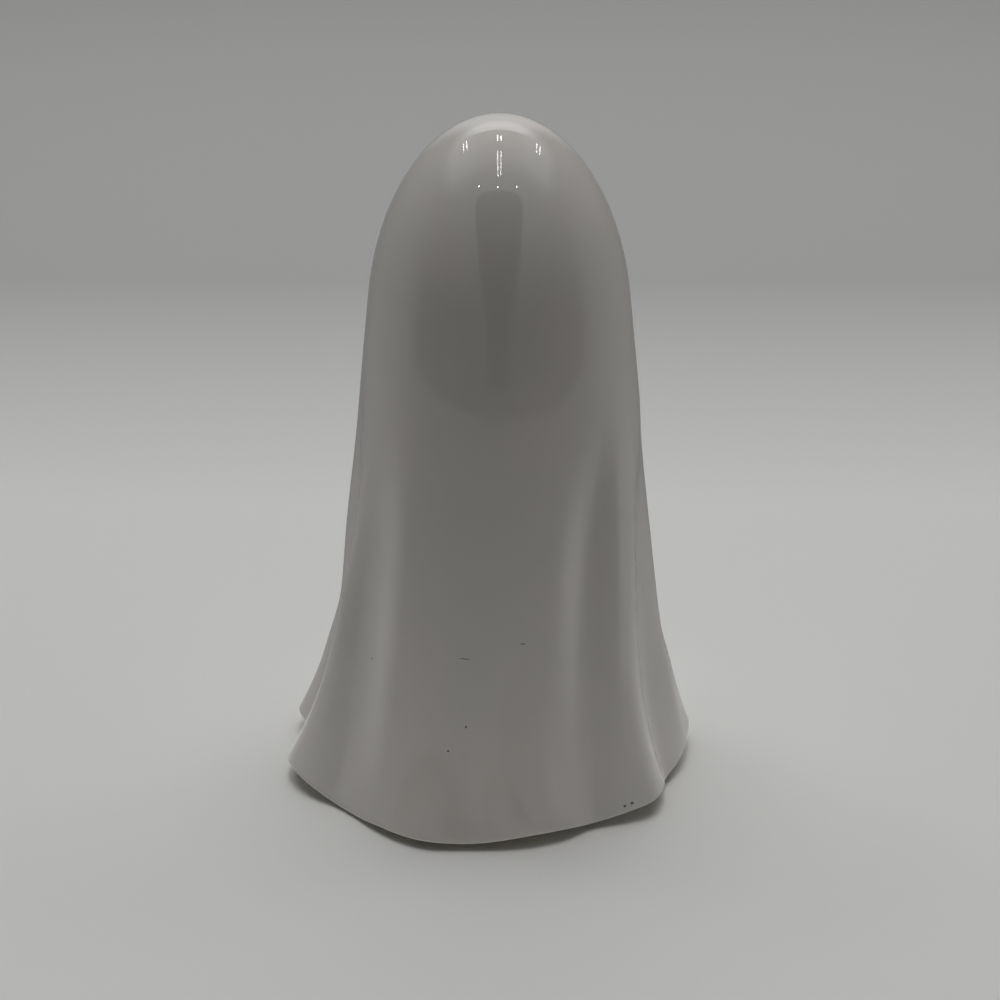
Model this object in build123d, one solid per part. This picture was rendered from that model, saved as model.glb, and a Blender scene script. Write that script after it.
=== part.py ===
from build123d import *
import os
from math import atan, cos, degrees, pi, radians, sin

# Driving dimensions in millimetres
HEIGHT = 150.0
DOME_RADIUS = 28.4
DOME_HEIGHT = 46.9
SIDE_SLOPE = 0.111
HEM_RADIUS = 44.0
FLARE_TOP = 44.0
WALL = 4.5
FOOT_RADIUS = 29.0
FOOT_LEVEL = 2.0
BASE_THICKNESS = 4.5
VENT_DIAMETER = 3.0
LIP_RADIUS = 0.9
EYE_WIDTH = 8.0
EYE_HEIGHT = 11.0
EYE_SPACING = 19.0
EYE_LEVEL = 111.0
MOUTH_WIDTH = 7.0
MOUTH_HEIGHT = 9.0
MOUTH_LEVEL = 93.0
GLAZE_DEPTH = 0.8
GLAZE_CROWN = 0.25
PAD_DIAMETER = 9.0
PAD_SPACING = 31.0
PAD_EDGE = 0.5

# The middle of the dome, set so that the whole figure is centred over the origin
AXIS_X = -1.37
AXIS_Y = 0.44

# Angles are degrees around the figure from the middle of its back, growing towards -X
# Hem: angle, how far the edge stands out beyond HEM_RADIUS, its height above the table
HEM = [
    (-125, 0.5, 4.5),
    (-107, 5.5, 5.0),
    (-94, 1.0, 4.5),
    (-80, 4.5, 4.5),
    (-72, 5.0, 5.0),
    (-64, 4.0, 4.5),
    (-56, 2.0, 2.6),
    (-47, 0.0, 1.4),
    (-36, 1.0, 2.4),
    (-22, 2.0, 2.7),
    (-8, 0.0, 2.4),
    (8, -1.0, 3.6),
    (20, -2.0, 3.5),
    (31, -3.5, 2.3),
    (42, -1.0, 3.5),
    (50, 1.0, 4.5),
    (58, -0.5, 4.4),
    (66, -3.0, 2.4),
    (76, -2.5, 4.0),
    (88, -0.4, 6.0),
    (100, 1.5, 6.0),
    (117, -1.5, 4.0),
    (137, 1.5, 2.5),
    (158, -2.0, 2.0),
    (178, 0.5, 2.0),
    (197, -1.5, 2.5),
    (217, 1.5, 3.0),
]

# Folds: angle at the hem, half way up and at the top, width before and after that line in degrees,
# depth, and how far up the side the fold reaches as a share of the side
FOLDS = [
    (-95, -83, -68, 18, 12, 2.5, 0.90),
    (-47, -62, -54, 16, 22, 3.5, 0.85),
    (31, 36, 45, 20, 12, 4.5, 0.85),
    (62, 72, 80, 22, 20, 4.5, 0.80),
    (118, 118, 118, 22, 22, 3.0, 0.80),
    (158, 158, 158, 20, 20, 2.5, 0.70),
    (197, 197, 197, 20, 20, 2.5, 0.70),
    (233, 235, 238, 18, 18, 3.0, 0.80),
    (-108, -104, -98, 24, 24, -3.0, 0.60),
    (10, 3, 10, 11, 11, 2.0, 0.45),
]
# The stretch of a fold over which it starts, and its depth there, as shares of the whole fold
FOLD_START = 0.4
FOLD_DEPTH_AT_TOP = 0.7

# Where the sections of the loft lie: angles up the dome, shares of the side, turns of the lip
DOME_ANGLES = (86, 79, 70, 60, 49, 38, 27, 17)
SIDE_SHARES = (
    0.94, 0.88, 0.82, 0.75, 0.68, 0.61, 0.54, 0.47,
    0.40, 0.33, 0.27, 0.215, 0.16, 0.115, 0.07, 0.035,
)
LIP_TURNS = (0, 45, 90)
POINTS_AROUND = 96

# Derived sizes
JOIN_ANGLE = atan(SIDE_SLOPE * DOME_HEIGHT / DOME_RADIUS)
JOIN_RADIUS = DOME_RADIUS * cos(JOIN_ANGLE)
JOIN_LEVEL = HEIGHT - DOME_HEIGHT + DOME_HEIGHT * sin(JOIN_ANGLE)
SIDE_LEVELS = [share * JOIN_LEVEL for share in SIDE_SHARES]


def around(angle):
    return (angle + 180.0) % 360.0 - 180.0


def bell(share):
    if abs(share) >= 1.0:
        return 0.0
    return 0.5 * (1.0 + cos(pi * share))


def hem_value(angle, column):
    """A column of the hem table at an angle, run smoothly through the hem points."""
    count = len(HEM)
    first = HEM[0][0]
    turned = (angle - first) % 360.0 + first
    spot = max(i for i in range(count) if HEM[i][0] <= turned)

    def at(index):
        turns, place = divmod(index, count)
        return HEM[place][0] + 360.0 * turns, HEM[place][column]

    before, start, end, after = at(spot - 1), at(spot), at(spot + 1), at(spot + 2)
    span = end[0] - start[0]
    rise_in = span * (end[1] - before[1]) / (end[0] - before[0])
    rise_out = span * (after[1] - start[1]) / (after[0] - start[0])
    t = (turned - start[0]) / span
    value = (2 * t**3 - 3 * t**2 + 1) * start[1] + (3 * t**2 - 2 * t**3) * end[1]
    return value + (t**3 - 2 * t**2 + t) * rise_in + (t**3 - t**2) * rise_out


def hem_radius(angle):
    return HEM_RADIUS + hem_value(angle, 1)


def hem_level(angle):
    return hem_value(angle, 2)


def fold_depth(angle, level):
    """How far the folds press the cloth in at an angle and height."""
    total = 0.0
    for at_hem, at_middle, at_top, width_before, width_after, depth, reach in FOLDS:
        up = level / (reach * JOIN_LEVEL)
        if up >= 1.0:
            continue
        centre = at_hem * (1 - up) * (1 - 2 * up) + 4 * at_middle * up * (1 - up) + at_top * up * (2 * up - 1)
        started = min((1 - up) / FOLD_START, 1.0)
        grown = started * started * (3 - 2 * started)
        grown *= FOLD_DEPTH_AT_TOP + (1 - FOLD_DEPTH_AT_TOP) * (1 - up)
        away = around(angle - centre)
        width = width_before if away < 0 else width_after
        total += depth * grown * bell(away / width)
    return total


def plain_radius(level):
    return JOIN_RADIUS + SIDE_SLOPE * (JOIN_LEVEL - level)


def flare_share(level):
    return max(1.0 - level / FLARE_TOP, 0.0) ** 2


def cloth_radius(angle, level):
    """Radius of the draped side, folds and flare included."""
    flare = hem_radius(angle) + fold_depth(angle, 0.0) - plain_radius(0.0)
    return plain_radius(level) - fold_depth(angle, level) + flare_share(level) * flare


def ring(radius_at, level_at):
    """A closed smooth curve around the figure."""
    points = []
    for step in range(POINTS_AROUND):
        angle = 360.0 * step / POINTS_AROUND
        radius = radius_at(angle)
        x = AXIS_X - radius * sin(radians(angle))
        y = AXIS_Y + radius * cos(radians(angle))
        points.append(Vector(x, y, level_at(angle)))
    shares = [step / POINTS_AROUND for step in range(POINTS_AROUND + 1)]
    return Wire([Edge.make_spline(points, periodic=True, parameters=shares)])


def flat_ring(radius, level):
    return ring(lambda angle: radius, lambda angle: level)


def dome_rings(inset):
    rings = [Vertex(AXIS_X, AXIS_Y, HEIGHT - inset)]
    for turn in DOME_ANGLES:
        radius = (DOME_RADIUS - inset) * cos(radians(turn))
        level = HEIGHT - DOME_HEIGHT + (DOME_HEIGHT - inset) * sin(radians(turn))
        rings.append(flat_ring(radius, level))
    return rings


def lip_ring(turn):
    """The hem's edge after the rolled lip has turned under by an angle."""
    back = LIP_RADIUS * (1 - cos(radians(turn)))
    drop = LIP_RADIUS * sin(radians(turn))
    return ring(lambda angle: hem_radius(angle) - back, lambda angle: hem_level(angle) - drop)


def outer_form():
    """The whole outside: dome, folded side, lifted hem, rolled lip, underside and foot."""
    skin_rings = dome_rings(0.0)
    for level in SIDE_LEVELS:
        skin_rings.append(ring(
            lambda angle: cloth_radius(angle, level),
            lambda angle: level + hem_level(angle) * flare_share(level),
        ))
    lip_rings = [lip_ring(turn) for turn in LIP_TURNS]
    foot_ring = flat_ring(FOOT_RADIUS, FOOT_LEVEL)
    skin = Shell.make_loft([*skin_rings, lip_rings[0]])
    underside = Shell.make_loft([*lip_rings, foot_ring], ruled=True)
    return Solid(Shell([*skin.faces(), *underside.faces(), Face(foot_ring)]))


def cavity_form():
    """The hollow that the slip leaves, one wall inside the outside."""
    floor_level = FOOT_LEVEL + BASE_THICKNESS
    rings = dome_rings(WALL)
    for level in SIDE_LEVELS:
        if level > floor_level + WALL:
            rings.append(ring(lambda angle: cloth_radius(angle, level) - WALL, lambda angle: level))
    rings.append(ring(lambda angle: cloth_radius(angle, floor_level) - WALL, lambda angle: floor_level))
    return Solid.make_loft(rings)


def face_core(inset):
    """The plain round form behind the face, for cutting things to its curve."""
    join = degrees(JOIN_ANGLE)
    dome_centre = HEIGHT - DOME_HEIGHT
    dome_line = EllipticalCenterArc(
        (0, dome_centre), DOME_RADIUS - inset, DOME_HEIGHT - inset, start_angle=join, arc_size=90 - join
    )
    foot_of_dome = dome_line @ 0
    low_level = MOUTH_LEVEL - MOUTH_HEIGHT
    low_radius = foot_of_dome.X + SIDE_SLOPE * (foot_of_dome.Y - low_level)
    rest = Polyline(dome_line @ 1, (0, low_level), (low_radius, low_level), foot_of_dome)
    profile = Plane.XZ * make_face([dome_line, rest])
    return Pos(AXIS_X, AXIS_Y, 0) * revolve(profile, Axis.Z)


def face_oval(offset, level, width, height):
    """An oval prism that runs out through the front at a place on the face."""
    front = Plane(origin=(AXIS_X + offset, AXIS_Y, level), x_dir=(1, 0, 0), z_dir=(0, -1, 0))
    return extrude(front * Ellipse(width / 2, height / 2), amount=2 * DOME_RADIUS)


def pad(x, y):
    block = Pos(AXIS_X + x, AXIS_Y + y, FOOT_LEVEL / 2) * Cylinder(PAD_DIAMETER / 2, FOOT_LEVEL)
    return fillet(block.edges().group_by(Axis.Z)[0], PAD_EDGE)


# The face: each feature is an oval of black glaze that fills a pressed recess
FACE = {
    "left_eye": face_oval(EYE_SPACING / 2, EYE_LEVEL, EYE_WIDTH, EYE_HEIGHT),
    "right_eye": face_oval(-EYE_SPACING / 2, EYE_LEVEL, EYE_WIDTH, EYE_HEIGHT),
    "mouth": face_oval(0, MOUTH_LEVEL, MOUTH_WIDTH, MOUTH_HEIGHT),
}
recess_floor = face_core(GLAZE_DEPTH)
glaze_front = face_core(-GLAZE_CROWN)

# The ceramic body
vent = Pos(AXIS_X, AXIS_Y, FOOT_LEVEL) * Cylinder(VENT_DIAMETER / 2, 2 * (BASE_THICKNESS + WALL))
body = outer_form() - cavity_form() - vent
for oval in FACE.values():
    body -= oval - recess_floor

# All pieces by name
pieces = {"ceramic_body": body}
for name, oval in FACE.items():
    pieces[name] = (oval & glaze_front) - recess_floor
half = PAD_SPACING / 2
pieces["front_left_pad"] = pad(half, -half)
pieces["front_right_pad"] = pad(-half, -half)
pieces["rear_left_pad"] = pad(half, half)
pieces["rear_right_pad"] = pad(-half, half)

os.makedirs("parts", exist_ok=True)
for name, piece in pieces.items():
    export_step(piece, f"parts/{name}.step")
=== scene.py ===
from math import atan, cos, pi, radians, sin

import bpy
import numpy as np
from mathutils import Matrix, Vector


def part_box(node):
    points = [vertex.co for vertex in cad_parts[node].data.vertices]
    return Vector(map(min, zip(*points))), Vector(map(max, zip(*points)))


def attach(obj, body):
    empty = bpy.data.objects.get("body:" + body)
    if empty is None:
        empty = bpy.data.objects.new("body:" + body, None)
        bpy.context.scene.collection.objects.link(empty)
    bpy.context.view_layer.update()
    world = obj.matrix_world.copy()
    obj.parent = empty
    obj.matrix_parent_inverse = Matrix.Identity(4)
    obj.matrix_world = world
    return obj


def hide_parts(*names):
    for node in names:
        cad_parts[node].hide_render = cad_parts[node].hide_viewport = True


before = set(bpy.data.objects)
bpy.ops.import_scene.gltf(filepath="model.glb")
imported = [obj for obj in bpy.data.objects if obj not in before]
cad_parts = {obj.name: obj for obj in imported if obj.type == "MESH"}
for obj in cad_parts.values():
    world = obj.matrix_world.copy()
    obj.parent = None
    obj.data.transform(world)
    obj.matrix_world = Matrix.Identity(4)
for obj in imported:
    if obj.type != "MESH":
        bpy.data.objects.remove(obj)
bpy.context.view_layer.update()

# Sizes in millimetres, and the slope of the side
MM = 0.001
HEIGHT = 150.0
DOME_RADIUS = 28.6
DOME_HEIGHT = 46.9
SIDE_SLOPE = 0.111
HEM_RADIUS = 44.0
FLARE_TOP = 44.0
FOOT_RADIUS = 29.0
FOOT_LEVEL = 2.0
LIP_RADIUS = 0.9
VENT_RADIUS = 1.5
VENT_DEPTH = 4.5
EYE_WIDTH = 8.0
EYE_HEIGHT = 11.0
EYE_SPACING = 19.0
EYE_LEVEL = 111.0
MOUTH_WIDTH = 7.0
MOUTH_HEIGHT = 9.0
MOUTH_LEVEL = 93.0
GLAZE_DEPTH = 0.7
GLAZE_CROWN = 0.25
PAD_EDGE = 0.5
AXIS_X = -1.37
AXIS_Y = 0.44
# The power by which the crown of a glaze oval falls off towards its edge
GLAZE_EDGE_SHARPNESS = 6

# Angles are degrees around the figure from the middle of its back, growing towards -X
# Hem: angle, how far the edge stands out beyond HEM_RADIUS, its height above the table
HEM = [
    (-125, 0.5, 4.5),
    (-107, 6.2, 5.0),
    (-94, 1.0, 4.5),
    (-80, 5.4, 4.5),
    (-72, 5.6, 5.0),
    (-64, 3.6, 3.7),
    (-56, 0.8, 1.7),
    (-47, 0.0, 1.4),
    (-36, 1.0, 2.4),
    (-22, 2.0, 2.7),
    (-8, 0.0, 2.4),
    (8, -1.0, 3.6),
    (20, -2.0, 3.5),
    (31, -3.5, 2.3),
    (42, -1.0, 3.5),
    (50, 1.0, 4.5),
    (58, -0.5, 4.4),
    (66, -2.8, 2.6),
    (76, -1.6, 3.6),
    (88, 0.0, 5.2),
    (100, 1.2, 6.2),
    (117, -1.5, 4.0),
    (137, 1.5, 2.5),
    (158, -2.0, 2.0),
    (178, 0.5, 2.0),
    (197, -1.5, 2.5),
    (217, 1.5, 3.0),
]

# Folds: angle at the hem, half way up and at the top, width before and after that line in degrees,
# depth, less than nothing where the cloth swells, and how far up the side it reaches as a share of the side
FOLDS = [
    (-94, -87, -76, 14, 19, 2.8, 0.92),
    (-57, -56, -55, 20, 20, 3.0, 0.85),
    (31, 36, 45, 20, 12, 4.5, 0.85),
    (62, 74, 84, 22, 21, 3.7, 0.82),
    (118, 118, 118, 22, 22, 3.0, 0.80),
    (158, 158, 158, 20, 20, 2.5, 0.70),
    (197, 197, 197, 20, 20, 2.5, 0.70),
    (233, 235, 238, 18, 18, 3.0, 0.80),
    (-112, -109, -104, 24, 20, -2.0, 0.80),
    (-107, -107, -107, 16, 16, -1.2, 0.35),
    (-75, -75, -76, 18, 14, -2.2, 0.60),
    (92, 92, 92, 20, 20, -1.0, 0.30),
    (10, 3, 10, 11, 11, 2.0, 0.45),
    (-14, -12.5, -11, 3.5, 3.0, 0.45, 0.26),
]
# The stretch of a fold over which it starts, and its depth there, as shares of the whole fold
FOLD_START = 0.4
FOLD_DEPTH_AT_TOP = 0.7

# Marks in the glaze: angle, level up the side, width, height
GLAZE_MARKS = [
    (40.6, 1.3, 0.9, 0.8),
    (42.8, 1.4, 1.1, 0.8),
    (-16.0, 20.7, 0.7, 0.6),
    (-10.7, 26.5, 0.6, 0.8),
    (-54.3, 34.4, 0.6, 0.6),
    (-11.6, 41.8, 3.0, 0.25),
    (8.1, 45.2, 1.6, 0.3),
]
MARK_COLOUR = (0.14, 0.13, 0.12, 1)
# The share of a mark that shows fully
MARK_CORE = 0.5

# How finely the pieces are meshed
POINTS_AROUND = 360
DOME_ROWS = 56
SIDE_ROWS = 150
LIP_ROWS = 10
UNDER_ROWS = 14
OVAL_POINTS_AROUND = 72
OVAL_FRONT_ROWS = 16
OVAL_BACK_ROWS = 6
PAD_POINTS_AROUND = 64
PAD_EDGE_STEPS = 5
# Points nearer than this are one point, in millimetres
MERGE_DISTANCE = 0.002
# Edges that turn by more degrees than this stay sharp
WRAPPED_SHARP_ANGLE = 50
PAD_SHARP_ANGLE = 40
# The bare clay: faces that point down at least this much and lie no more than this far above the vent
POINTING_DOWN = -0.99
BARE_MARGIN = 0.1

# The table, in metres, and its tone along its depth, as it is seen, with painted shade darkening it far
# behind the figure, and as it throws light back, with a painted pool of light near the figure and painted
# shade on the camera's side:
# distance towards the camera, colour
TABLE_SIZE = 3.2
TABLE_MIDDLE = -0.3
TABLE_SQUARES = 8
TABLE_BACK = -1.6
TABLE_FRONT = 0.5
# Painted shade: the table as it is seen grows darker far behind the figure
TABLE_SEEN_TONES_PAINTED_SHADE = [
    (-0.42, (0.41, 0.41, 0.405)),
    (-0.16, (0.81, 0.81, 0.795)),
    (0.14, (0.82, 0.82, 0.8)),
]
# Painted light and shade: the light that the table throws back is brighter near the figure and nearly black
# on the camera's side
TABLE_BOUNCE_TONES_PAINTED_LIGHT = [
    (-0.42, (0.48, 0.48, 0.47)),
    (-0.18, (0.78, 0.78, 0.76)),
    (-0.02, (0.95, 0.95, 0.94)),
    (0.13, (0.95, 0.95, 0.94)),
    (0.26, (0.08, 0.08, 0.08)),
]

# Painted reflections: how brightly the surroundings that the glaze mirrors glow, by how far a direction
# points towards the camera:
# away from the camera's side, and high up behind the figure
PAINTED_REFLECTION_SIDES = [
    (-1.0, 0.25),
    (-0.9, 0.18),
    (-0.75, 0.28),
    (-0.45, 0.52),
    (-0.1, 0.68),
    (0.1, 0.62),
]
PAINTED_REFLECTION_HIGH_REAR = [
    (-1.0, 0.5),
    (-0.85, 1.1),
    (-0.63, 1.9),
    (-0.5, 2.1),
    (-0.47, 0.1),
    (-0.1, 0.3),
]
# The rise over which the painted reflection behind comes in, and how far sideways it goes out
HIGH_REAR_RISE = (0.0, 0.3)
HIGH_REAR_SIDES = (0.2, 0.5)
# What the painted ceiling reflection adds to both, and the rise over which it comes in
PAINTED_REFLECTION_CEILING = 0.9
CEILING_RISE = (0.6, 0.76)
# The painted reflection on the camera's side: low down, high up, and of the table as far as its front edge,
# with the distance of that edge and its blur in metres
PAINTED_REFLECTION_FRONT_LOW = 0.18
PAINTED_REFLECTION_FRONT_HIGH = 0.8
PAINTED_REFLECTION_TABLE = 0.47
TABLE_EDGE = 0.8
TABLE_EDGE_BLUR = 0.04
# Where the camera's side starts, as the share of a direction that points towards the camera
FRONT_STARTS = (0.1, 0.38)
# The rise over which the camera's side goes from its low look to its high one
FRONT_RISE = (0.0, 0.8)

# The point that the soft panels are aimed at, in metres
FIGURE_MIDDLE = (0.0, 0.0, 0.08)

# The dark board behind the camera, in metres
FLAG_DISTANCE = 0.75
FLAG_FOOT = 0.03
FLAG_HEIGHT = 1.19
FLAG_WIDTH = 1.12
FLAG_FOOT_SHARE = 0.22
FLAG_CORNER = 0.25
FLAG_CORNER_STEPS = 6

# Soft panels, which light the figure without showing in its glaze:
# name, place in metres, width, depth, brightness
PANELS = [
    ("rear_panel", (0.0, -1.7, 1.2), 2.4, 0.8, 0.25),
    ("high_rear_panel", (0.0, -0.8, 1.6), 2.4, 0.6, 1.0),
    ("side_panel", (-1.5, -0.1, 0.9), 1.2, 0.8, 0.15),
    ("middle_panel", (0.0, -0.15, 2.05), 1.6, 0.9, 2.85),
]
# Tubes and spots on the ceiling, which show in the glaze: the same
TUBES = [
    ("long_tube_left", (0.05, 0.45, 2.0), 0.03, 0.8, 15.0),
    ("long_tube_right", (-0.05, 0.45, 2.0), 0.03, 0.8, 15.0),
    ("far_tube_left", (0.05, -0.5, 2.0), 0.03, 0.3, 18.0),
    ("far_tube_right", (-0.05, -0.5, 2.0), 0.03, 0.3, 18.0),
    ("side_tube_left", (1.0, -0.68, 2.0), 0.03, 0.5, 15.0),
    ("side_tube_right", (1.12, -0.68, 2.0), 0.03, 0.5, 15.0),
    ("other_tube_left", (-1.2, -0.75, 2.0), 0.03, 0.5, 15.0),
    ("other_tube_right", (-1.32, -0.75, 2.0), 0.03, 0.5, 15.0),
    ("left_spot", (0.75, 1.05, 2.0), 0.05, 0.05, 25.0),
    ("middle_spot", (0.05, 1.17, 2.0), 0.05, 0.05, 25.0),
    ("right_spot", (-0.65, 1.08, 2.0), 0.05, 0.05, 25.0),
]
# The room: its strength as a light, and its tone where it is seen
ROOM_BRIGHTNESS = 0.02
ROOM_LOOK = 0.6

# Camera, in millimetres: how far behind the figure, how high and how far to the side it stands,
# the level that it aims at, its lens and sensor, and the nearest that it sees
CAMERA_DISTANCE = 405.0
CAMERA_HEIGHT = 225.0
CAMERA_SIDE = -0.15
CAMERA_AIM = 63.9
CAMERA_LENS = 70.24
CAMERA_SENSOR = 36.0
CAMERA_NEAREST = 10.0

# Where the dome runs into the side
JOIN_ANGLE = atan(SIDE_SLOPE * DOME_HEIGHT / DOME_RADIUS)
JOIN_RADIUS = DOME_RADIUS * cos(JOIN_ANGLE)
JOIN_LEVEL = HEIGHT - DOME_HEIGHT + DOME_HEIGHT * sin(JOIN_ANGLE)


# The drape, worked out for many points at once

def bell(share):
    inside = np.abs(share) < 1.0
    return np.where(inside, 0.5 * (1.0 + np.cos(np.pi * share)), 0.0)


def hem_value(angle, column):
    """A column of the hem table at each angle, run smoothly through the hem points."""
    count = len(HEM)
    places = np.array([HEM[i % count][0] + 360.0 * (i // count) for i in range(-count, 2 * count)])
    values = np.array([HEM[i % count][column] for i in range(-count, 2 * count)], float)
    rises = np.zeros(len(values))
    rises[1:-1] = (values[2:] - values[:-2]) / (places[2:] - places[:-2])
    turned = (angle - HEM[0][0]) % 360.0 + HEM[0][0]
    spot = np.searchsorted(places, turned, side="right") - 1
    span = places[spot + 1] - places[spot]
    t = (turned - places[spot]) / span
    value = (2 * t**3 - 3 * t**2 + 1) * values[spot] + (3 * t**2 - 2 * t**3) * values[spot + 1]
    return value + span * ((t**3 - 2 * t**2 + t) * rises[spot] + (t**3 - t**2) * rises[spot + 1])


def fold_depth(angle, level):
    """How far the folds press the cloth in at each angle, at one height."""
    total = np.zeros(len(angle))
    for at_hem, at_middle, at_top, width_before, width_after, depth, reach in FOLDS:
        up = level / (reach * JOIN_LEVEL)
        if up >= 1.0:
            continue
        centre = at_hem * (1 - up) * (1 - 2 * up) + 4 * at_middle * up * (1 - up) + at_top * up * (2 * up - 1)
        started = min((1 - up) / FOLD_START, 1.0)
        grown = started * started * (3 - 2 * started)
        grown *= FOLD_DEPTH_AT_TOP + (1 - FOLD_DEPTH_AT_TOP) * (1 - up)
        away = (angle - centre + 180.0) % 360.0 - 180.0
        width = np.where(away < 0, width_before, width_after)
        total += depth * grown * bell(away / width)
    return total


def plain_radius(level):
    return JOIN_RADIUS + SIDE_SLOPE * (JOIN_LEVEL - level)


def side_row(angle, level):
    """Radius and height of the hanging cloth at each angle, at one level between the hem and the dome."""
    share = max(1.0 - level / FLARE_TOP, 0.0) ** 2
    flare = HEM_RADIUS + hem_value(angle, 1) + fold_depth(angle, 0.0) - plain_radius(0.0)
    radius = plain_radius(level) - fold_depth(angle, level) + share * flare
    return radius, level + hem_value(angle, 2) * share


def drape_rows(angle):
    """Radius and height along rows from the top of the dome to the middle of the base."""
    all_round = np.ones(len(angle))
    rows = []
    for turn in np.linspace(radians(90), JOIN_ANGLE, DOME_ROWS):
        dome_level = HEIGHT - DOME_HEIGHT + DOME_HEIGHT * sin(turn)
        rows.append((DOME_RADIUS * cos(turn) * all_round, dome_level * all_round))
    hem_radius = HEM_RADIUS + hem_value(angle, 1)
    hem_level = hem_value(angle, 2)
    for level in np.linspace(JOIN_LEVEL, 0.0, SIDE_ROWS)[1:]:
        rows.append(side_row(angle, level))
    for turn in np.linspace(0, pi / 2, LIP_ROWS)[1:]:
        rows.append((hem_radius - LIP_RADIUS * (1 - cos(turn)), hem_level - LIP_RADIUS * sin(turn)))
    for share in np.linspace(0, 1, UNDER_ROWS)[1:]:
        radius = (1 - share) * (hem_radius - LIP_RADIUS) + share * FOOT_RADIUS
        rows.append((radius, (1 - share) * (hem_level - LIP_RADIUS) + share * FOOT_LEVEL))
    for radius in np.linspace(FOOT_RADIUS, VENT_RADIUS, UNDER_ROWS)[1:]:
        rows.append((radius * all_round, FOOT_LEVEL * all_round))
    rows.append((VENT_RADIUS * all_round, (FOOT_LEVEL + VENT_DEPTH) * all_round))
    rows.append((0 * all_round, (FOOT_LEVEL + VENT_DEPTH) * all_round))
    return rows


# Modelling helpers

def deselect_all():
    bpy.ops.object.select_all(action="DESELECT")


def sheet(name, columns, rows):
    """A flat grid of the given number of points each way, ready to be wrapped round a form."""
    deselect_all()
    bpy.ops.mesh.primitive_grid_add(x_subdivisions=columns - 1, y_subdivisions=rows - 1, size=1.0)
    piece = bpy.context.active_object
    piece.name = name
    return piece


def wrap(piece, points):
    """Moves a sheet's points, row by row, to their places in millimetres and closes its seam and poles."""
    piece.data.vertices.foreach_set("co", (points * MM).astype(np.float32).ravel())
    bpy.ops.object.mode_set(mode="EDIT")
    bpy.ops.mesh.select_all(action="SELECT")
    bpy.ops.mesh.remove_doubles(threshold=MERGE_DISTANCE * MM)
    bpy.ops.mesh.normals_make_consistent(inside=False)
    bpy.ops.object.mode_set(mode="OBJECT")
    bpy.ops.object.shade_smooth_by_angle(angle=radians(WRAPPED_SHARP_ANGLE))


def finish_piece(piece, node, slot, *materials):
    for material in materials:
        piece.data.materials.append(material)
    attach(piece, "root")
    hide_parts(node)


# Materials

def new_material(name):
    material = bpy.data.materials.new(name)
    material.use_nodes = True
    return material, material.node_tree, material.node_tree.nodes["Principled BSDF"]


def new_node(tree, kind, **inputs):
    made = tree.nodes.new(kind)
    for key, value in inputs.items():
        made.inputs[key.replace("_", " ")].default_value = value
    return made


def blend_range(tree, source, low, high, start, end, manner="SMOOTHSTEP"):
    """A value that changes from start to end as its source goes from low to high."""
    made = tree.nodes.new("ShaderNodeMapRange")
    made.interpolation_type = manner
    made.inputs["From Min"].default_value = low
    made.inputs["From Max"].default_value = high
    made.inputs["To Min"].default_value = start
    made.inputs["To Max"].default_value = end
    tree.links.new(source, made.inputs["Value"])
    return made.outputs["Result"]


def computed(tree, operation, *sources):
    """A value worked out from one or two others."""
    made = tree.nodes.new("ShaderNodeMath")
    made.operation = operation
    for spot, source in enumerate(sources):
        tree.links.new(source, made.inputs[spot])
    return made.outputs["Value"]


def glaze_marks(tree, place):
    """How strongly a pinhole or a hairline shows at a place, from not at all to fully."""
    strongest = None
    for angle, level, width, height in GLAZE_MARKS:
        radius, rise = side_row(np.array([float(angle)]), level)
        turn = radians(angle)
        centre = (AXIS_X - radius[0] * sin(turn), AXIS_Y + radius[0] * cos(turn), rise[0])
        away = tree.nodes.new("ShaderNodeVectorMath")
        away.operation = "SUBTRACT"
        away.inputs[1].default_value = [value * MM for value in centre]
        tree.links.new(place, away.inputs[0])
        shares = tree.nodes.new("ShaderNodeVectorMath")
        shares.operation = "DIVIDE"
        shares.inputs[1].default_value = [size / 2 * MM for size in (width, width, height)]
        tree.links.new(away.outputs["Vector"], shares.inputs[0])
        length = tree.nodes.new("ShaderNodeVectorMath")
        length.operation = "LENGTH"
        tree.links.new(shares.outputs["Vector"], length.inputs[0])
        shown = blend_range(tree, length.outputs["Value"], MARK_CORE, 1.0, 1.0, 0.0)
        strongest = shown if strongest is None else computed(tree, "MAXIMUM", strongest, shown)
    return strongest


def place_on_piece(tree):
    return tree.nodes.new("ShaderNodeTexCoord").outputs["Object"]


def noise(tree, place, **inputs):
    """A noise pattern by the place on a piece."""
    made = new_node(tree, "ShaderNodeTexNoise", **inputs)
    tree.links.new(place, made.inputs["Vector"])
    return made.outputs["Fac"]


def cloudy_tone(tree, pattern, dark, light):
    """A ramp that goes from a dark colour to a light one with a noise pattern."""
    tone = tree.nodes.new("ShaderNodeValToRGB")
    tone.color_ramp.elements[0].color = (*dark, 1)
    tone.color_ramp.elements[1].color = (*light, 1)
    tree.links.new(pattern, tone.inputs["Fac"])
    return tone


def uneven_surface(tree, shader, pattern, strength, distance):
    """Lets a noise pattern make a finish slightly uneven."""
    bump = new_node(tree, "ShaderNodeBump", Strength=strength, Distance=distance)
    tree.links.new(pattern, bump.inputs["Height"])
    tree.links.new(bump.outputs["Normal"], shader.inputs["Normal"])


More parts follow.
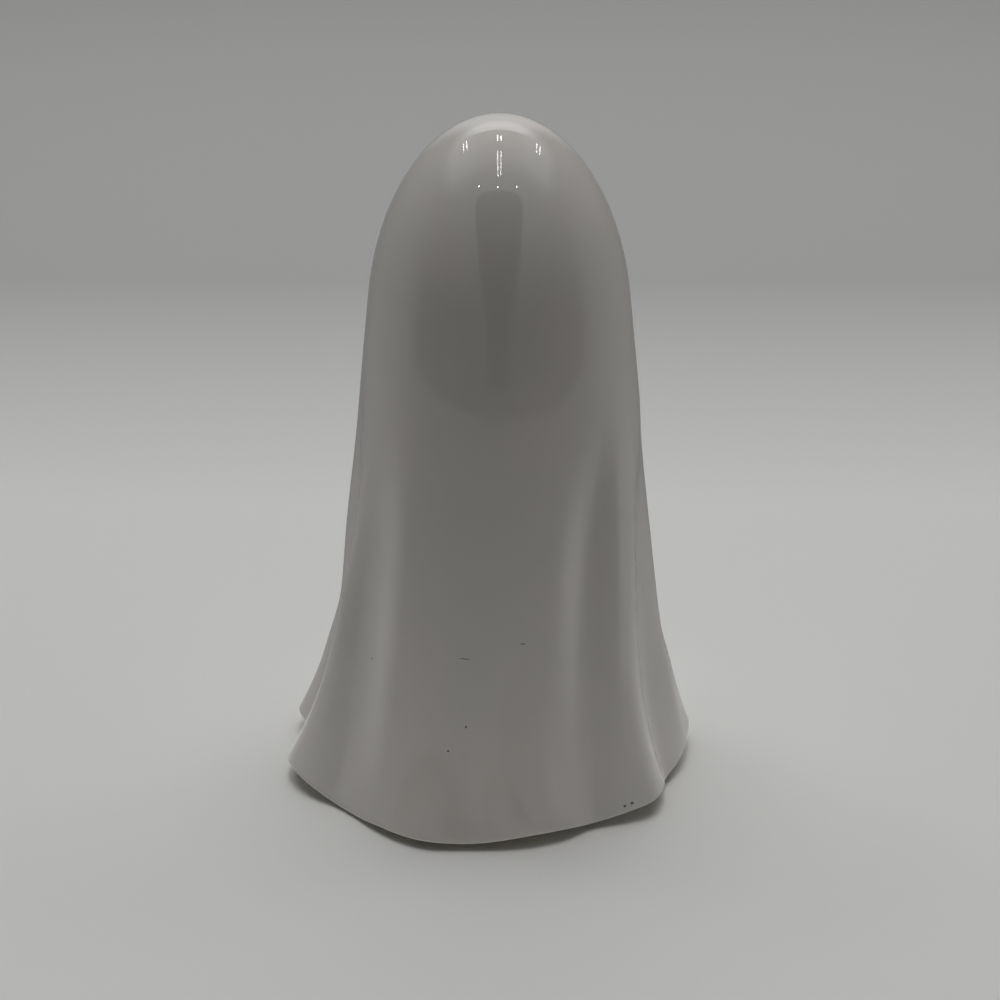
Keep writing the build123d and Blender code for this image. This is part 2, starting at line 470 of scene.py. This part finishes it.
def white_glaze():
    """Clear gloss over a white body, with thick and thin places, marks and a slightly uneven surface."""
    material, tree, shader = new_material("white_glaze")
    shader.inputs["Roughness"].default_value = 0.015
    shader.inputs["IOR"].default_value = 1.5
    place = place_on_piece(tree)
    clouds = noise(tree, place, Scale=38.0, Detail=3.0, Roughness=0.5)
    tone = cloudy_tone(tree, clouds, (0.67, 0.645, 0.607), (0.70, 0.66, 0.622))
    tone.color_ramp.elements[0].position = 0.3
    tone.color_ramp.elements[1].position = 0.7
    marked = tree.nodes.new("ShaderNodeMix")
    marked.data_type = "RGBA"
    marked.inputs["B"].default_value = MARK_COLOUR
    tree.links.new(glaze_marks(tree, place), marked.inputs["Factor"])
    tree.links.new(tone.outputs["Color"], marked.inputs["A"])
    tree.links.new(marked.outputs["Result"], shader.inputs["Base Color"])
    waves = noise(tree, place, Scale=55.0, Detail=1.5)
    uneven_surface(tree, shader, waves, 0.25, 0.0004)
    return material


def black_glaze():
    """Glossy black, a little brown where it is thin."""
    material, tree, shader = new_material("black_glaze")
    shader.inputs["Roughness"].default_value = 0.08
    clouds = noise(tree, place_on_piece(tree), Scale=300.0, Detail=3.0)
    tone = cloudy_tone(tree, clouds, (0.008, 0.007, 0.006), (0.022, 0.017, 0.014))
    tree.links.new(tone.outputs["Color"], shader.inputs["Base Color"])
    return material


def bare_bisque():
    """Unglazed fired clay under the foot, matte and finely grained."""
    material, tree, shader = new_material("bare_bisque")
    shader.inputs["Roughness"].default_value = 0.85
    grain = noise(tree, place_on_piece(tree), Scale=900.0, Detail=4.0)
    tone = cloudy_tone(tree, grain, (0.60, 0.55, 0.47), (0.72, 0.68, 0.60))
    tree.links.new(tone.outputs["Color"], shader.inputs["Base Color"])
    uneven_surface(tree, shader, grain, 0.3, 0.0002)
    return material


def pad_rubber():
    """Matte black moulded rubber with a fine grain."""
    material, tree, shader = new_material("pad_rubber")
    shader.inputs["Roughness"].default_value = 0.7
    grain = noise(tree, place_on_piece(tree), Scale=1500.0, Detail=2.0)
    tone = cloudy_tone(tree, grain, (0.015, 0.015, 0.016), (0.035, 0.035, 0.036))
    tree.links.new(tone.outputs["Color"], shader.inputs["Base Color"])
    uneven_surface(tree, shader, grain, 0.4, 0.0001)
    return material


# Pieces

def ceramic_figure():
    """The draped body: a sheet wrapped round from the top of the dome to the vent."""
    angle = np.linspace(-180.0, 180.0, POINTS_AROUND + 1)
    rows = drape_rows(angle)
    piece = sheet("ceramic_body_glazed", POINTS_AROUND + 1, len(rows))
    turn = np.radians(angle)
    points = [
        np.stack([AXIS_X - radius * np.sin(turn), AXIS_Y + radius * np.cos(turn), level], axis=-1)
        for radius, level in rows
    ]
    wrap(piece, np.concatenate(points))
    finish_piece(piece, "ceramic_body", "white_glaze", white_glaze(), bare_bisque())
    bare_top = (FOOT_LEVEL + VENT_DEPTH + BARE_MARGIN) * MM
    for face in piece.data.polygons:
        if face.center.z < bare_top and face.normal.z < POINTING_DOWN:
            face.material_index = 1


def front_surface(x, level):
    """How far forward the plain front lies at a place on the face."""
    radius = np.where(
        level >= JOIN_LEVEL,
        DOME_RADIUS * np.sqrt(np.clip(1 - ((level - HEIGHT + DOME_HEIGHT) / DOME_HEIGHT) ** 2, 0, 1)),
        plain_radius(level),
    )
    return np.sqrt(radius**2 - x**2)


def glaze_oval(node_name, offset, level, width, height, material):
    """A rounded oval of glaze on the face, with a soft raised edge and a closed back."""
    turn = np.linspace(0, 2 * pi, OVAL_POINTS_AROUND + 1)
    front_shares = np.linspace(0, 1, OVAL_FRONT_ROWS)
    front = [(share, GLAZE_CROWN * (1 - share**GLAZE_EDGE_SHARPNESS)) for share in front_shares]
    back = [(share, -GLAZE_DEPTH) for share in np.linspace(1, 0, OVAL_BACK_ROWS)]
    rows = []
    for share, rise in front + back:
        x = offset + share * width / 2 * np.cos(turn)
        z = level + share * height / 2 * np.sin(turn)
        y = front_surface(x, z) + rise
        rows.append(np.stack([AXIS_X + x, AXIS_Y - y, z], axis=-1))
    piece = sheet(node_name + "_glaze", OVAL_POINTS_AROUND + 1, len(rows))
    wrap(piece, np.concatenate(rows))
    finish_piece(piece, node_name, "black_glaze", material)


def rubber_pad(node_name, material):
    """A moulded bumper pad: a short round block with a rounded lower edge."""
    low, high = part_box(node_name)
    middle = (Vector(low) + Vector(high)) / 2
    deselect_all()
    bpy.ops.mesh.primitive_cylinder_add(
        vertices=PAD_POINTS_AROUND, radius=(high[0] - low[0]) / 2, depth=high[2] - low[2], location=middle
    )
    piece = bpy.context.active_object
    piece.name = node_name + "_rubber"
    bpy.ops.object.transform_apply(location=True, rotation=True, scale=True)
    bpy.ops.object.mode_set(mode="EDIT")
    bpy.ops.mesh.select_all(action="SELECT")
    bpy.ops.mesh.bevel(offset=PAD_EDGE * MM, segments=PAD_EDGE_STEPS, affect="EDGES")
    bpy.ops.object.mode_set(mode="OBJECT")
    bpy.ops.object.shade_smooth_by_angle(angle=radians(PAD_SHARP_ANGLE))
    finish_piece(piece, node_name, "pad_rubber", material)


ceramic_figure()
face_glaze = black_glaze()
glaze_oval("left_eye", EYE_SPACING / 2, EYE_LEVEL, EYE_WIDTH, EYE_HEIGHT, face_glaze)
glaze_oval("right_eye", -EYE_SPACING / 2, EYE_LEVEL, EYE_WIDTH, EYE_HEIGHT, face_glaze)
glaze_oval("mouth", 0.0, MOUTH_LEVEL, MOUTH_WIDTH, MOUTH_HEIGHT, face_glaze)
rubber = pad_rubber()
for pad_name in ("front_left_pad", "front_right_pad", "rear_left_pad", "rear_right_pad"):
    rubber_pad(pad_name, rubber)


# Table, light and camera

def set_ramp(ramp_node, stops):
    """Gives a colour ramp its stops."""
    elements = ramp_node.color_ramp.elements
    while len(elements) < len(stops):
        elements.new(1.0)
    for element, (position, colour) in zip(elements, stops):
        element.position = position
        element.color = (*colour, 1.0)


def table_tone(tree, along, stops):
    """The table's colour along its depth."""
    tone = tree.nodes.new("ShaderNodeValToRGB")
    set_ramp(tone, [((y - TABLE_BACK) / (TABLE_FRONT - TABLE_BACK), colour) for y, colour in stops])
    tree.links.new(along.outputs["Result"], tone.inputs["Fac"])
    return tone


def look_ramp(tree, towards_camera, stops):
    """Brightness by how far a direction points towards the camera."""
    ramp = tree.nodes.new("ShaderNodeValToRGB")
    set_ramp(ramp, [((towards + 1) / 2, (tone, tone, tone)) for towards, tone in stops])
    tree.links.new(blend_range(tree, towards_camera, -1.0, 1.0, 0.0, 1.0, "LINEAR"), ramp.inputs["Fac"])
    return ramp.outputs["Color"]


def mixed(tree, factor, first, second):
    """A value that goes from the first to the second with the factor."""
    mix = tree.nodes.new("ShaderNodeMix")
    tree.links.new(factor, mix.inputs["Factor"])
    tree.links.new(first, mix.inputs["A"])
    tree.links.new(second, mix.inputs["B"])
    return mix.outputs["Result"]


def painted_reflection_look(tree, towards_camera, painted_sides_look, painted_front_look):
    """The painted reflection that the glaze mirrors in a direction: one look at the sides and one on the
    camera's side.
    """
    front_share = blend_range(tree, towards_camera, *FRONT_STARTS, 0.0, 1.0)
    return mixed(tree, front_share, painted_sides_look, painted_front_look)


def pale_table():
    """A pale board under the figure that runs far back behind it; its tones carry painted light and shade,
    and the glaze mirrors it as a glowing painted reflection.
    """
    deselect_all()
    bpy.ops.mesh.primitive_grid_add(
        x_subdivisions=TABLE_SQUARES, y_subdivisions=TABLE_SQUARES, size=1.0, location=(0, TABLE_MIDDLE, 0)
    )
    board = bpy.context.active_object
    board.name = "pale_table"
    board.scale = (TABLE_SIZE, TABLE_SIZE, 1.0)
    bpy.ops.object.transform_apply(location=True, rotation=True, scale=True)
    material, tree, shader = new_material("pale_board")
    shader.inputs["Roughness"].default_value = 0.6
    place = place_on_piece(tree)
    parts = tree.nodes.new("ShaderNodeSeparateXYZ")
    along = tree.nodes.new("ShaderNodeMapRange")
    along.inputs["From Min"].default_value = TABLE_BACK
    along.inputs["From Max"].default_value = TABLE_FRONT
    tree.links.new(place, parts.inputs["Vector"])
    tree.links.new(parts.outputs["Y"], along.inputs["Value"])
    # The seen tone carries painted shade far behind the figure; the thrown tone carries a painted pool of
    # light near the figure and painted shade towards the camera
    seen_tone_painted_shade = table_tone(tree, along, TABLE_SEEN_TONES_PAINTED_SHADE)
    bounce_tone_painted_light = table_tone(tree, along, TABLE_BOUNCE_TONES_PAINTED_LIGHT)
    ray = tree.nodes.new("ShaderNodeLightPath")
    tone = tree.nodes.new("ShaderNodeMix")
    tone.data_type = "RGBA"
    tree.links.new(ray.outputs["Is Camera Ray"], tone.inputs["Factor"])
    tree.links.new(bounce_tone_painted_light.outputs["Color"], tone.inputs["A"])
    tree.links.new(seen_tone_painted_shade.outputs["Color"], tone.inputs["B"])
    tree.links.new(tone.outputs["Result"], shader.inputs["Base Color"])
    distance = tree.nodes.new("ShaderNodeVectorMath")
    distance.operation = "LENGTH"
    tree.links.new(place, distance.inputs[0])
    towards_camera = computed(tree, "DIVIDE", parts.outputs["Y"], distance.outputs["Value"])
    edge_starts = TABLE_EDGE - TABLE_EDGE_BLUR
    edge_ends = TABLE_EDGE + TABLE_EDGE_BLUR
    painted_front_look = blend_range(
        tree, distance.outputs["Value"], edge_starts, edge_ends, PAINTED_REFLECTION_TABLE, PAINTED_REFLECTION_FRONT_LOW
    )
    # Painted reflection: for glossy rays the table glows with these tones instead of being lit
    mirrored = tree.nodes.new("ShaderNodeEmission")
    painted_sides_look = look_ramp(tree, towards_camera, PAINTED_REFLECTION_SIDES)
    look = painted_reflection_look(tree, towards_camera, painted_sides_look, painted_front_look)
    tree.links.new(look, mirrored.inputs["Strength"])
    surface = tree.nodes.new("ShaderNodeMixShader")
    tree.links.new(ray.outputs["Is Glossy Ray"], surface.inputs["Fac"])
    tree.links.new(shader.outputs["BSDF"], surface.inputs[1])
    tree.links.new(mirrored.outputs["Emission"], surface.inputs[2])
    tree.links.new(surface.outputs["Shader"], tree.nodes["Material Output"].inputs["Surface"])
    board.data.materials.append(material)


def lamp(name, place, width, depth, brightness, aim, mirrored):
    """A rectangular light of an even brightness, aimed at a point."""
    data = bpy.data.lights.new(name, "AREA")
    data.shape = "RECTANGLE"
    data.size = width
    data.size_y = depth
    data.energy = pi * width * depth * brightness
    lamp_object = bpy.data.objects.new(name, data)
    bpy.context.scene.collection.objects.link(lamp_object)
    lamp_object.location = place
    lamp_object.visible_glossy = mirrored
    towards = Vector(aim) - Vector(place)
    lamp_object.rotation_euler = towards.to_track_quat("-Z", "Y").to_euler()


def dark_flag():
    """A dark board behind the camera, narrower at its foot, which the glaze mirrors as a darker column."""
    deselect_all()
    bpy.ops.mesh.primitive_plane_add(size=1.0, location=(0, 0, 0))
    flag = bpy.context.active_object
    flag.name = "dark_flag"
    bpy.ops.object.mode_set(mode="EDIT")
    bpy.ops.mesh.select_all(action="DESELECT")
    bpy.ops.object.mode_set(mode="OBJECT")
    for corner in flag.data.vertices:
        corner.select = corner.co.y < 0
    bpy.ops.object.mode_set(mode="EDIT")
    bpy.ops.transform.resize(value=(FLAG_FOOT_SHARE, 1, 1))
    bpy.ops.object.mode_set(mode="OBJECT")
    flag.scale = (FLAG_WIDTH, FLAG_HEIGHT, 1.0)
    flag.rotation_euler = (radians(90), 0, 0)
    flag.location = (0.0, FLAG_DISTANCE, FLAG_FOOT + FLAG_HEIGHT / 2)
    bpy.ops.object.transform_apply(location=True, rotation=True, scale=True)
    for corner in flag.data.vertices:
        corner.select = corner.co.z > FLAG_HEIGHT / 2
    bpy.ops.object.mode_set(mode="EDIT")
    bpy.ops.mesh.bevel(offset=FLAG_CORNER, segments=FLAG_CORNER_STEPS, affect="VERTICES")
    bpy.ops.object.mode_set(mode="OBJECT")
    material, tree, shader = new_material("flag_cloth")
    shader.inputs["Base Color"].default_value = (0.03, 0.03, 0.03, 1)
    shader.inputs["Roughness"].default_value = 0.9
    flag.data.materials.append(material)
    flag.visible_camera = False
    flag.visible_shadow = False


pale_table()
dark_flag()
for lamp_name, place, width, depth, brightness in PANELS:
    lamp(lamp_name, place, width, depth, brightness, FIGURE_MIDDLE, False)
for lamp_name, place, width, depth, brightness in TUBES:
    below = (place[0], place[1], 0.0)
    lamp(lamp_name, place, width, depth, brightness, below, True)

# The room: dim as a light, pale where it is seen, and glowing with painted reflections where it is mirrored,
# darker on the camera's side
world = bpy.context.scene.world or bpy.data.worlds.new("room")
bpy.context.scene.world = world
world.use_nodes = True
room = world.node_tree
ray = room.nodes.new("ShaderNodeLightPath")
direction = room.nodes.new("ShaderNodeTexCoord")
parts = room.nodes.new("ShaderNodeSeparateXYZ")
room.links.new(direction.outputs["Generated"], parts.inputs["Vector"])
painted_front_look = blend_range(
    room, parts.outputs["Z"], *FRONT_RISE, PAINTED_REFLECTION_FRONT_LOW, PAINTED_REFLECTION_FRONT_HIGH, "LINEAR"
)
painted_low_look = look_ramp(room, parts.outputs["Y"], PAINTED_REFLECTION_SIDES)
painted_high_look = look_ramp(room, parts.outputs["Y"], PAINTED_REFLECTION_HIGH_REAR)
sideways = computed(room, "ABSOLUTE", parts.outputs["X"])
risen_share = blend_range(room, parts.outputs["Z"], *HIGH_REAR_RISE, 0.0, 1.0)
middle_share = blend_range(room, sideways, *HIGH_REAR_SIDES, 1.0, 0.0)
high_share = computed(room, "MULTIPLY", risen_share, middle_share)
painted_ceiling_look = blend_range(room, parts.outputs["Z"], *CEILING_RISE, 0.0, PAINTED_REFLECTION_CEILING)
painted_sides_look = computed(room, "ADD", mixed(room, high_share, painted_low_look, painted_high_look), painted_ceiling_look)
seen = computed(room, "MAXIMUM", ray.outputs["Is Camera Ray"], ray.outputs["Is Transmission Ray"])
plain_light = room.nodes.new("ShaderNodeMix")
plain_light.inputs["A"].default_value = ROOM_BRIGHTNESS
plain_light.inputs["B"].default_value = ROOM_LOOK
room.links.new(seen, plain_light.inputs["Factor"])
# Painted reflections: glossy rays see the glowing room instead of its dim light
light = room.nodes.new("ShaderNodeMix")
room.links.new(ray.outputs["Is Glossy Ray"], light.inputs["Factor"])
room.links.new(plain_light.outputs["Result"], light.inputs["A"])
room_painted_reflection = painted_reflection_look(room, parts.outputs["Y"], painted_sides_look, painted_front_look)
room.links.new(room_painted_reflection, light.inputs["B"])
room.nodes["Background"].inputs["Color"].default_value = (1.0, 1.0, 1.0, 1)
room.links.new(light.outputs["Result"], room.nodes["Background"].inputs["Strength"])

camera_data = bpy.data.cameras.new("photo_camera")
camera_data.sensor_width = CAMERA_SENSOR
camera_data.lens = CAMERA_LENS
camera_data.clip_start = CAMERA_NEAREST * MM
camera = bpy.data.objects.new("photo_camera", camera_data)
bpy.context.scene.collection.objects.link(camera)
camera.location = Vector((AXIS_X + CAMERA_SIDE, AXIS_Y + CAMERA_DISTANCE, CAMERA_HEIGHT)) * MM
aim_point = Vector((AXIS_X + CAMERA_SIDE, AXIS_Y, CAMERA_AIM)) * MM
camera.rotation_euler = (aim_point - camera.location).to_track_quat("-Z", "Y").to_euler()
bpy.context.scene.camera = camera

bpy.context.scene.view_settings.view_transform = "Standard"
